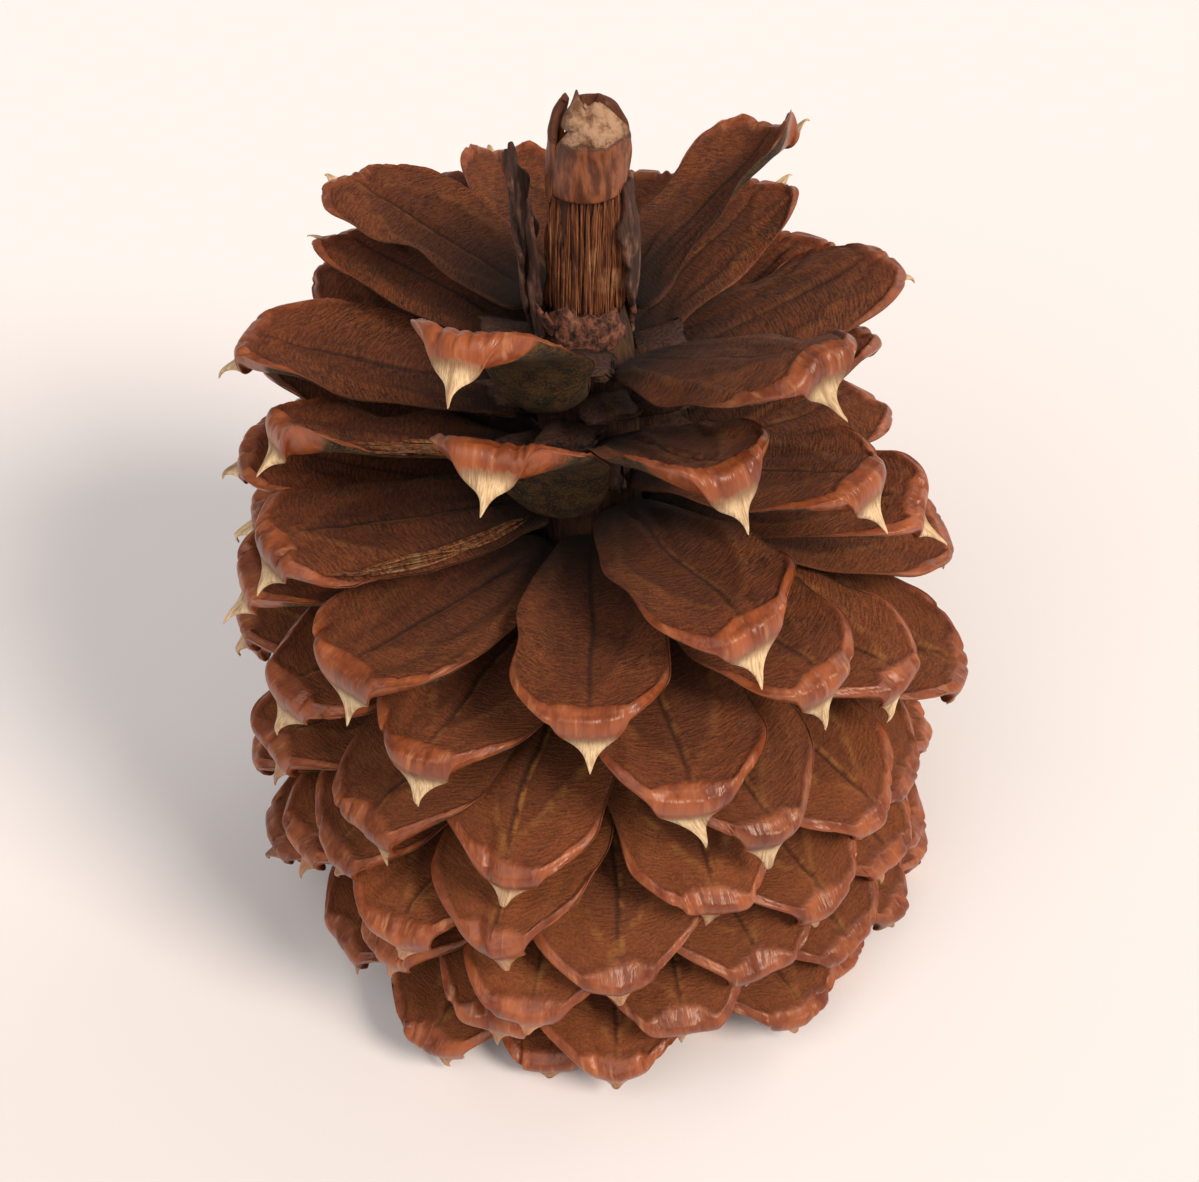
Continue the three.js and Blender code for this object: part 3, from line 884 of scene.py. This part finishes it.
class PineConeColours(bpy.types.PropertyGroup):
    """Colours of the dry cone."""

    # Also paints the shade that darkens each blade towards the axis, over the blade's own dark
    # root.
    root: colour_property("Root", "Shaded root end of a blade", "#160703")
    face_dark: colour_property("Face, dark", "Dark patches of a blade's upper face", "#38140a")
    face_light: colour_property("Face, light", "Light patches of a blade's upper face", "#6d3418")
    face_sunned: colour_property("Face, sunned", "Bleached faces of the lower scales", "#8b5029")
    crust: colour_property("Crust", "Torn crust below the bare fibres", "#82503f")
    face_rib: colour_property("Rib", "Fine ribs across a blade", "#95562c")
    face_fuzz: colour_property("Fuzz", "Short hairs on a blade", "#a2693a")
    # Also a painted highlight on one wall of the midrib groove.
    vein_and_highlight: colour_property("Vein", "Midrib and seed-wing outlines", "#a8743c")
    rim_dark: colour_property("Rim, dark", "Dark parts of the outer rim", "#68301a")
    rim_light: colour_property("Rim, light", "Light parts of the outer rim", "#95522d")
    # Also a painted highlight on the rim's fold ridges, besides their wear.
    rim_worn_and_highlight: colour_property("Rim, worn", "Worn ridges of the outer rim", "#c48b5e")
    under_dark: colour_property("Underside, dark", "Dark parts of the underside", "#180e06")
    under_light: colour_property("Underside, light", "Light parts of the underside", "#573c17")
    under_fuzz: colour_property("Underside, fuzz", "Hairs of the underside", "#836a34")
    umbo_base: colour_property("Umbo, base", "Where the umbo meets the rim", "#86664a")
    umbo_dark: colour_property("Umbo, dark", "Streaks of the umbo", "#a08260")
    umbo_light: colour_property("Umbo, light", "Ivory of the umbo and spine", "#dcc49e")
    tip: colour_property("Spine tip", "The very point of a spine", "#6d4c33")
    # Its dark streaks on the fibres are partly the fibres' own colour and partly painted shade of
    # the gaps between them.
    fibre_dark_and_gap_shade: colour_property("Fibre, dark", "Gaps between the bare fibres", "#4c2313")
    fibre_light: colour_property("Fibre, light", "Bare fibres of the axis", "#ab6a40")
    fibre_fleck: colour_property("Fibre, fleck", "Pale splinters", "#cc966a")
    bark_dark: colour_property("Bark, dark", "Torn bark in shade", "#190d08")
    bark_light: colour_property("Bark, light", "Torn bark in light", "#4a281c")
    bark_fleck: colour_property("Bark, fleck", "Pale crumbs of bark", "#a07660")
    tip_band_dark: colour_property("Tip band, dark", "Smooth band of the tip", "#4f2817")
    tip_band_light: colour_property("Tip band, light", "Smooth band of the tip", "#8a5232")
    tip_fuzz_dark: colour_property("Tip wool, dark", "Woolly umbo of the tip", "#66432c")
    tip_fuzz_light: colour_property("Tip wool, light", "Woolly umbo of the tip", "#ab8b70")


class PineConeStage(bpy.types.PropertyGroup):
    """Floor and camera."""

    floor_size: bpy.props.FloatProperty(
        name="Floor size", description="Side of the pale floor", default=60.0, unit="LENGTH"
    )
    camera_distance: bpy.props.FloatProperty(
        name="Camera distance",
        description="From the middle of the cone to the camera",
        default=0.42894,
        unit="LENGTH",
    )
    camera_elevation: bpy.props.FloatProperty(
        name="Camera elevation",
        description="Angle above the horizontal",
        default=math.radians(41.25),
        subtype="ANGLE",
    )
    camera_lean: bpy.props.FloatProperty(
        name="Camera lean",
        description="Turn of the camera about its own view",
        default=math.radians(3.27),
        subtype="ANGLE",
    )
    target_height: bpy.props.FloatProperty(
        name="Target height",
        description="Height of the point looked at",
        default=0.066,
        unit="LENGTH",
    )


# ---------------------------------------------------------------- operators


class PINECONE_OT_upper_scales(bpy.types.Operator):
    """The 51 scales that stand free, each its own copy of the modelled scale"""

    bl_idname = "pinecone.upper_scales"
    bl_label = "Upper scales"

    def execute(self, context):
        model_object, model = model_scale()
        wood = material_of("dry_scale_wood", dry_scale_wood, colours_of(context))
        number = 0
        for place in range(TOP_PLACE, LOWEST_FREE_PLACE + 1):
            if place in BROKEN_PLACES:
                continue
            number += 1
            node = f"scale_{number:02d}"
            piece = copy_scale(model_object, model, place, f"dry_{node}")
            dress(piece, wood, "scale_wood", node)
        bpy.data.objects.remove(model_object)
        return {"FINISHED"}


class PINECONE_OT_lower_scales(bpy.types.Operator):
    """The lower scales in rings of eight, which are grown together at their roots"""

    bl_idname = "pinecone.lower_scales"
    bl_label = "Lower scales"

    def execute(self, context):
        model_object, model = model_scale()
        wood = material_of("dry_scale_wood", dry_scale_wood, colours_of(context))
        places = list(range(LOWEST_FREE_PLACE + 1, LAST_PLACE + 1))
        in_ring = 8
        for ring in range(math.ceil(len(places) / in_ring)):
            members = []
            for spot, place in enumerate(places[ring * in_ring : (ring + 1) * in_ring]):
                tile = ((spot % 3) / 3, (spot // 3) / 3, 1 / 3)
                members.append(copy_scale(model_object, model, place, f"lower_{place}", tile))
            piece = join(members, f"lower_ring_{ring + 1:02d}")
            dress(piece, wood, "lower_scale_wood", "lower_scales")
        bpy.data.objects.remove(model_object)
        return {"FINISHED"}


class PINECONE_OT_axis(bpy.types.Operator):
    """The woody axis with the torn roots of the broken scales, and the stalk scar"""

    bl_idname = "pinecone.axis"
    bl_label = "Axis"

    def execute(self, context):
        colours = colours_of(context)
        tones = (colours.bark_dark, colours.bark_light, colours.under_light)
        wood = material_of("torn_axis_wood", stump_wood, *tones)
        rng = np.random.default_rng(7)
        sides = 40
        outline = [
            (STALK_RADIUS - 0.3, 0.0),
            (STALK_RADIUS, 1.2),
            (AXIS_RADIUS + 2.5, 4.0),
            (AXIS_RADIUS + 0.8, 8.0),
            *((AXIS_RADIUS, height) for height in range(14, COLLAR_HEIGHT, 6)),
            (7.4, COLLAR_HEIGHT),
            (6.4, COLLAR_HEIGHT + 3.5),
            (5.5, FIBRE_HEIGHT),
            (5.4, CAP_HEIGHT),
        ]
        rings = []
        for radius, height in outline:
            ring = []
            for k in range(sides):
                turn = 2 * math.pi * k / sides
                rough = radius + (0.35 * rng.standard_normal() if 8 < height < COLLAR_HEIGHT else 0)
                rough = min(rough, radius + 0.6)
                ring.append((rough * math.cos(turn), rough * math.sin(turn), height))
            rings.append(ring)
        shaft = extruded("torn_axis", rings)
        to_metres(shaft)
        roots = [torn_root(place) for place in sorted(BROKEN_PLACES)]
        piece = join([shaft, *roots], "torn_axis")
        lean_tip(piece)
        shade_smooth(piece)
        dress(piece, wood, "axis_fibre", "cone_axis")
        return {"FINISHED"}


def torn_root(place):
    """The short ragged root that a broken scale leaves on the axis."""
    rng = np.random.default_rng(300 + place)
    stand = stand_of(place)
    sides = 16
    rings = []
    for along, half, thick in [
        (-3.0, 5.2, 1.8),
        (1.5, 5.0, 1.6),
        (4.0, 5.2, 1.3),
        (6.0, 5.0, 1.0),
        (6.8, 4.2, 0.6),
    ]:
        ring = []
        for k in range(sides):
            turn = 2 * math.pi * k / sides
            ragged = (0.9 if along > 3 else 0.25) * rng.standard_normal()
            rise = thick * math.sin(turn) * (1 + 0.15 * rng.standard_normal())
            ring.append((half * math.cos(turn), along + ragged, rise))
        rings.append(set_on_axis(np.array(ring), stand))
    root = extruded(f"torn_root_{place}", rings)
    to_metres(root)
    return root


def strand_model():
    """A straight fibre of unit length and radius with tapered ends."""
    last = 8
    corners = [(math.cos(k * math.pi / 3), math.sin(k * math.pi / 3)) for k in range(6)]
    rings = []
    for step in range(last + 1):
        swell = 1.0 if 0 < step < last else 0.45
        rings.append([(swell * x, swell * y, step / last) for x, y in corners])
    return extruded("fibre_model", rings)


class PINECONE_OT_bare_fibres(bpy.types.Operator):
    """The splintered bundle of fibres that is left bare below the tip"""

    bl_idname = "pinecone.bare_fibres"
    bl_label = "Bare fibres"

    def execute(self, context):
        colours = colours_of(context)
        tones = (colours.fibre_dark_and_gap_shade, colours.fibre_light, colours.fibre_fleck)
        wood = material_of("bare_fibre", stump_wood, *tones, 0.35)
        rng = np.random.default_rng(11)
        strand = strand_model()
        unit = points_of(strand.data)
        members = []
        low, high = FIBRE_HEIGHT - 1.0, CAP_HEIGHT + 0.6
        count = 104
        for number in range(count):
            turn = 2 * math.pi * (number + 0.35 * rng.standard_normal()) / count
            radius = min(STUB_RADIUS - 0.35 + 0.18 * rng.standard_normal(), STUB_RADIUS + 0.1)
            wide = rng.uniform(0.18, 0.45)
            thick = rng.uniform(0.25, 0.5)
            bottom = low + rng.uniform(-0.6, 1.2)
            top = high - (rng.uniform(0, 2.0) if rng.random() < 0.7 else rng.uniform(3, 11))
            height = bottom + unit[:, 2] * (top - bottom)
            bow = 0.35 * ripple(height, rng, 3, 0.5)
            lean = turn + 0.05 * ripple(height, rng, 3, 0.35)
            reach = radius + bow + unit[:, 0] * thick
            sideways = unit[:, 1] * wide
            x = reach * np.cos(lean) - sideways * np.sin(lean)
            y = reach * np.sin(lean) + sideways * np.cos(lean)
            mesh = strand.data.copy()
            put_points(mesh, np.stack([x, y, height], 1) * MM)
            members.append(new_piece(f"fibre_{number}", mesh))
        bpy.data.objects.remove(strand)
        piece = join(members, "bare_fibres")
        lean_tip(piece)
        shade_smooth(piece)
        dress(piece, wood, "axis_fibre", "cone_axis")
        return {"FINISHED"}


def wrapped_sheet(rng, name, azimuth, outline, columns, rows, thickness, ragged):
    """A thin ragged sheet wrapped around the axis: a grid bent to its outline, thickened and
    subdivided. outline rows are height, radius and half angle in degrees."""
    start_clean()
    bpy.ops.mesh.primitive_grid_add(x_subdivisions=columns, y_subdivisions=rows, size=2)
    sheet = added(name)
    grid = points_of(sheet.data)
    across, share = grid[:, 0], (grid[:, 1] + 1) / 2
    along = np.linspace(0, 1, len(outline))
    height, radius, half = (np.interp(share, along, row) for row in np.array(outline, float).T)
    half = half * (1 + ragged * ripple(height + 9 * np.sign(across), rng, 5, 1.7))
    height = height + ragged * 4 * ripple(across * 4, rng, 5, 2.0) * smooth(share, 0.75, 1.0)
    radius = radius + 0.35 * ripple(across * 3 + height * 0.6, rng, 4, 1.0)
    turn = np.radians(azimuth + half * across)
    points = np.stack([radius * np.sin(turn), -radius * np.cos(turn), height], 1)
    put_points(sheet.data, points * MM)
    solid = sheet.modifiers.new("Wall", "SOLIDIFY")
    solid.thickness = thickness * MM
    solid.offset = -1
    bpy.ops.object.modifier_apply(modifier="Wall")
    apply_subdivision(sheet, 1)
    bpy.ops.object.mode_set(mode="EDIT")
    bpy.ops.mesh.select_all(action="SELECT")
    bpy.ops.mesh.normals_make_consistent(inside=False)
    bpy.ops.object.mode_set(mode="OBJECT")
    shade_smooth(sheet)
    return sheet


class PINECONE_OT_peeled_fibres(bpy.types.Operator):
    """Loose fibres that peeled off the margins of two dried scales"""

    bl_idname = "pinecone.peeled_fibres"
    bl_label = "Peeled fibres"

    def execute(self, context):
        colours = colours_of(context)
        tones = (colours.face_dark, colours.face_fuzz, colours.umbo_dark)
        wood = material_of("peeled_fibre", stump_wood, *tones, 0.2)
        for place, node, count, reach, lift in [
            (-11, "scale_15", 20, (8, 38), 3.6),
            (-3, "scale_23", 5, (5, 46), -1.2),
        ]:
            rng = np.random.default_rng(500 + place)
            stand = stand_of(place)
            strand = strand_model()
            unit = points_of(strand.data)
            members = []
            for number in range(count):
                start = reach[0] + rng.uniform(0, 8)
                stop = reach[1] - rng.uniform(0, 12)
                y = start + unit[:, 2] * (stop - start)
                width = np.interp(y, RING_ALONG, RING_WIDTH)
                wander = 0.8 * ripple(y, rng, 3, 0.3)
                x = width * 0.97 - number * 0.34 + wander - 2.0 * (1 - unit[:, 2]) * rng.random()
                bow = 0.7 * ripple(y, rng, 3, 0.35) + rng.uniform(0, 0.9)
                height = 1.4 + lift * (x / width) ** 2 + bow
                thick = rng.uniform(0.14, 0.34)
                points = np.stack([x + unit[:, 0] * thick * 1.6, y, height + unit[:, 1] * thick], 1)
                mesh = strand.data.copy()
                put_points(mesh, set_on_axis(points, stand) * MM)
                members.append(new_piece(f"peeled_{place}_{number}", mesh))
            bpy.data.objects.remove(strand)
            piece = join(members, f"peeled_fibres_{node}")
            shade_smooth(piece)
            dress(piece, wood, "scale_wood", node)
        return {"FINISHED"}


class PINECONE_OT_collar(bpy.types.Operator):
    """The torn crust below the bare fibres"""

    bl_idname = "pinecone.collar"
    bl_label = "Torn collar"

    def execute(self, context):
        colours = colours_of(context)
        tones = (colours.bark_dark, colours.crust, colours.bark_fleck)
        crust = material_of("torn_crust", stump_wood, *tones, 0.9, (0.9, 0.7))
        rng = np.random.default_rng(21)
        low, high = COLLAR_HEIGHT, FIBRE_HEIGHT
        front = [(low + 0.5, 7.2, 40), (low + 3, 7.6, 54), (high - 2, 7.3, 52), (high + 1, 6.7, 40)]
        back = [(low - 1, 7.8, 96), (low + 3, 8.0, 94), (high + 1.5, 7.0, 88)]
        flap = [(low + 3.5, 7.8, 8), (low + 6, 8.6, 13), (high + 1.8, 9.6, 9)]
        sheets = [
            wrapped_sheet(rng, "collar_front", 2, front, 30, 16, 1.3, 0.35),
            wrapped_sheet(rng, "collar_back", 185, back, 34, 14, 1.2, 0.2),
            wrapped_sheet(rng, "collar_flap", -52, flap, 10, 10, 0.7, 0.3),
        ]
        piece = join(sheets, "torn_collar")
        lean_tip(piece)
        dress(piece, crust, "axis_fibre", "cone_axis")
        return {"FINISHED"}


class PINECONE_OT_tip_scales(bpy.types.Operator):
    """The three small closed scales of the tip"""

    bl_idname = "pinecone.tip_scales"
    bl_label = "Tip scales"

    def execute(self, context):
        wood = material_of("tip_scale_wood", tip_scale_wood, colours_of(context))
        rng = np.random.default_rng(31)
        # Each outline's heights are above the bare fibres.
        front = [(-0.8, 6.0, 70), (1.5, 6.3, 74), (6, 6.2, 70), (8.5, 6.4, 62)]
        front += [(10.6, 5.8, 56), (12.2, 4.5, 52), (13.2, 2.8, 50), (13.7, 1.2, 50)]
        left = [(-2.5, 6.4, 34), (4, 6.8, 42), (9, 6.6, 40), (12, 5.6, 32), (13.8, 4.4, 16)]
        back = [(-0.2, 6.0, 76), (5, 6.3, 72), (9, 5.8, 64), (12, 4.2, 56), (13, 2.2, 60)]
        for side, azimuth, outline, thickness in [
            ("front", 8, front, 2.0),
            ("left", -100, left, 1.1),
            ("back", 150, back, 2.0),
        ]:
            name = f"{side}_tip"
            outline = [(CAP_HEIGHT + height, *rest) for height, *rest in outline]
            piece = wrapped_sheet(rng, name, azimuth, outline, 24, 26, thickness, 0.1)
            if side == "front":
                piece = join([piece, tip_spine()], name)
            lean_tip(piece)
            dress(piece, wood, "tip_wood", f"{name}_scale")
        return {"FINISHED"}


def tip_spine():
    """The short dark spine on top of the front tip scale."""
    rings = []
    for radius, height, lean in [
        (2.3, 11.0, 2.6),
        (1.9, 12.6, 2.5),
        (1.0, 13.9, 2.3),
        (0.55, 15.0, 2.1),
        (0.15, 16.2, 1.8),
    ]:
        turns = [k * math.pi / 5 for k in range(10)]
        rings.append(
            [
                (radius * math.cos(turn) - 2.2, radius * math.sin(turn) - lean, CAP_HEIGHT + height)
                for turn in turns
            ]
        )
    spine = extruded("tip_spine", rings)
    to_metres(spine)
    shade_smooth(spine)
    return spine


class PINECONE_OT_bark(bpy.types.Operator):
    """The upright split scale and the bark flake beside the bare fibres"""

    bl_idname = "pinecone.bark"
    bl_label = "Split scale and bark flake"

    def execute(self, context):
        colours = colours_of(context)
        tones = (colours.bark_dark, colours.bark_light, colours.bark_fleck)
        bark = material_of("dark_bark", stump_wood, *tones, 0.5)
        rng = np.random.default_rng(41)
        low = COLLAR_HEIGHT
        blade = [(low + 1, 8.4, 12), (low + 8, 9.4, 28), (low + 16, 10.0, 32)]
        blade += [(low + 24, 10.4, 26), (low + 30, 10.6, 17), (low + 32.5, 10.8, 8)]
        inner = [(low + 2, 8.0, 18), (low + 10, 8.5, 22), (low + 20, 8.3, 18), (low + 26, 7.8, 8)]
        sheets = [
            wrapped_sheet(rng, "split_blade", -104, blade, 14, 30, 0.8, 0.25),
            wrapped_sheet(rng, "split_inner", -74, inner, 12, 24, 0.7, 0.3),
        ]
        dress(join(sheets, "split_scale_blade"), bark, "bark", "split_scale")
        low = FIBRE_HEIGHT
        outline = [(low + 0.5, 8.0, 9), (low + 4, 8.3, 18), (low + 10, 8.3, 28)]
        outline += [(low + 16, 7.5, 25), (CAP_HEIGHT + 0.8, 6.6, 18)]
        flake = wrapped_sheet(rng, "bark_flake_blade", 68, outline, 16, 28, 0.9, 0.3)
        lean_tip(flake)
        dress(flake, bark, "bark", "bark_flake")
        return {"FINISHED"}


class PINECONE_OT_stage(bpy.types.Operator):
    """Pale floor, soft studio light and the camera"""

    bl_idname = "pinecone.stage"
    bl_label = "Stage"

    def execute(self, context):
        stage = context.scene.pine_cone_stage
        start_clean()
        bpy.ops.mesh.primitive_plane_add(size=stage.floor_size)
        floor = added("floor")
        floor.data.materials.append(pale_floor("pale_floor"))
        world = bpy.data.worlds.new("soft_room")
        world.use_nodes = True
        # The room lights softly, and the camera sees it as pale as the floor.
        tree = world.node_tree
        room = tree.nodes["Background"]
        room.inputs[0].default_value = linear("#f4e9de")
        room.inputs[1].default_value = 0.36
        seen = add(tree, "Background", {0: linear("#fff8f0"), 1: 1.0})
        ray = add(tree, "LightPath", out="Is Camera Ray")
        both = add(tree, "MixShader", {0: ray, 1: room.outputs[0], 2: seen})
        tree.links.new(both, tree.nodes["World Output"].inputs["Surface"])
        context.scene.world = world
        for name, place, strength, softness, hex_colour in [
            ("key", (0.6, -0.6, 0.76), 2.9, 22, "#ffe8d2"),
            ("front fill", (-0.35, -0.7, 0.9), 1.1, 50, "#fff1e6"),
            ("rim", (0.9, 0.6, 0.6), 0.7, 40, "#fff0e2"),
        ]:
            bpy.ops.object.light_add(type="SUN", location=place)
            lamp = bpy.context.object
            lamp.name = name
            lamp.data.energy = strength
            lamp.data.angle = math.radians(softness)
            lamp.data.color = linear(hex_colour)[:3]
            shine = Vector((0, 0, 0.07)) - Vector(place)
            lamp.rotation_euler = shine.to_track_quat("-Z", "Y").to_euler()
        away = stage.camera_distance
        rise = stage.camera_elevation
        place = Vector((0, -away * math.cos(rise), stage.target_height + away * math.sin(rise)))
        bpy.ops.object.camera_add(location=place)
        camera = bpy.context.object
        camera.name = "camera"
        camera.data.lens = LENS_MM
        camera.data.sensor_width = SENSOR_MM
        camera.data.clip_start = 0.01
        look = (Vector((0, 0, stage.target_height)) - place).to_track_quat("-Z", "Y")
        lean = Matrix.Rotation(-stage.camera_lean, 3, "Z")
        camera.rotation_euler = (look.to_matrix() @ lean).to_euler()
        context.scene.camera = camera
        context.scene.view_settings.view_transform = "Standard"
        return {"FINISHED"}


class PINECONE_PT_panel(bpy.types.Panel):
    """Lists the steps that build the cone"""

    bl_idname = "PINECONE_PT_panel"
    bl_label = "Pine cone"
    bl_space_type = "VIEW_3D"
    bl_region_type = "UI"
    bl_category = "Pine cone"

    def draw(self, context):
        for step in STEPS:
            self.layout.operator(step.bl_idname)
        for group in (context.scene.pine_cone_colours, context.scene.pine_cone_stage):
            for key in group.__annotations__:
                self.layout.prop(group, key)


STEPS = (
    PINECONE_OT_upper_scales,
    PINECONE_OT_lower_scales,
    PINECONE_OT_axis,
    PINECONE_OT_bare_fibres,
    PINECONE_OT_peeled_fibres,
    PINECONE_OT_collar,
    PINECONE_OT_tip_scales,
    PINECONE_OT_bark,
    PINECONE_OT_stage,
)
CLASSES = (PineConeColours, PineConeStage, *STEPS, PINECONE_PT_panel)


def register():
    for cls in CLASSES:
        bpy.utils.register_class(cls)
    bpy.types.Scene.pine_cone_colours = bpy.props.PointerProperty(type=PineConeColours)
    bpy.types.Scene.pine_cone_stage = bpy.props.PointerProperty(type=PineConeStage)


def unregister():
    del bpy.types.Scene.pine_cone_stage
    del bpy.types.Scene.pine_cone_colours
    for cls in reversed(CLASSES):
        bpy.utils.unregister_class(cls)


def main():
    register()
    bpy.ops.pinecone.upper_scales()
    bpy.ops.pinecone.lower_scales()
    bpy.ops.pinecone.axis()
    bpy.ops.pinecone.bare_fibres()
    bpy.ops.pinecone.peeled_fibres()
    bpy.ops.pinecone.collar()
    bpy.ops.pinecone.tip_scales()
    bpy.ops.pinecone.bark()
    bpy.ops.pinecone.stage()


if __name__ == "__main__":
    main()
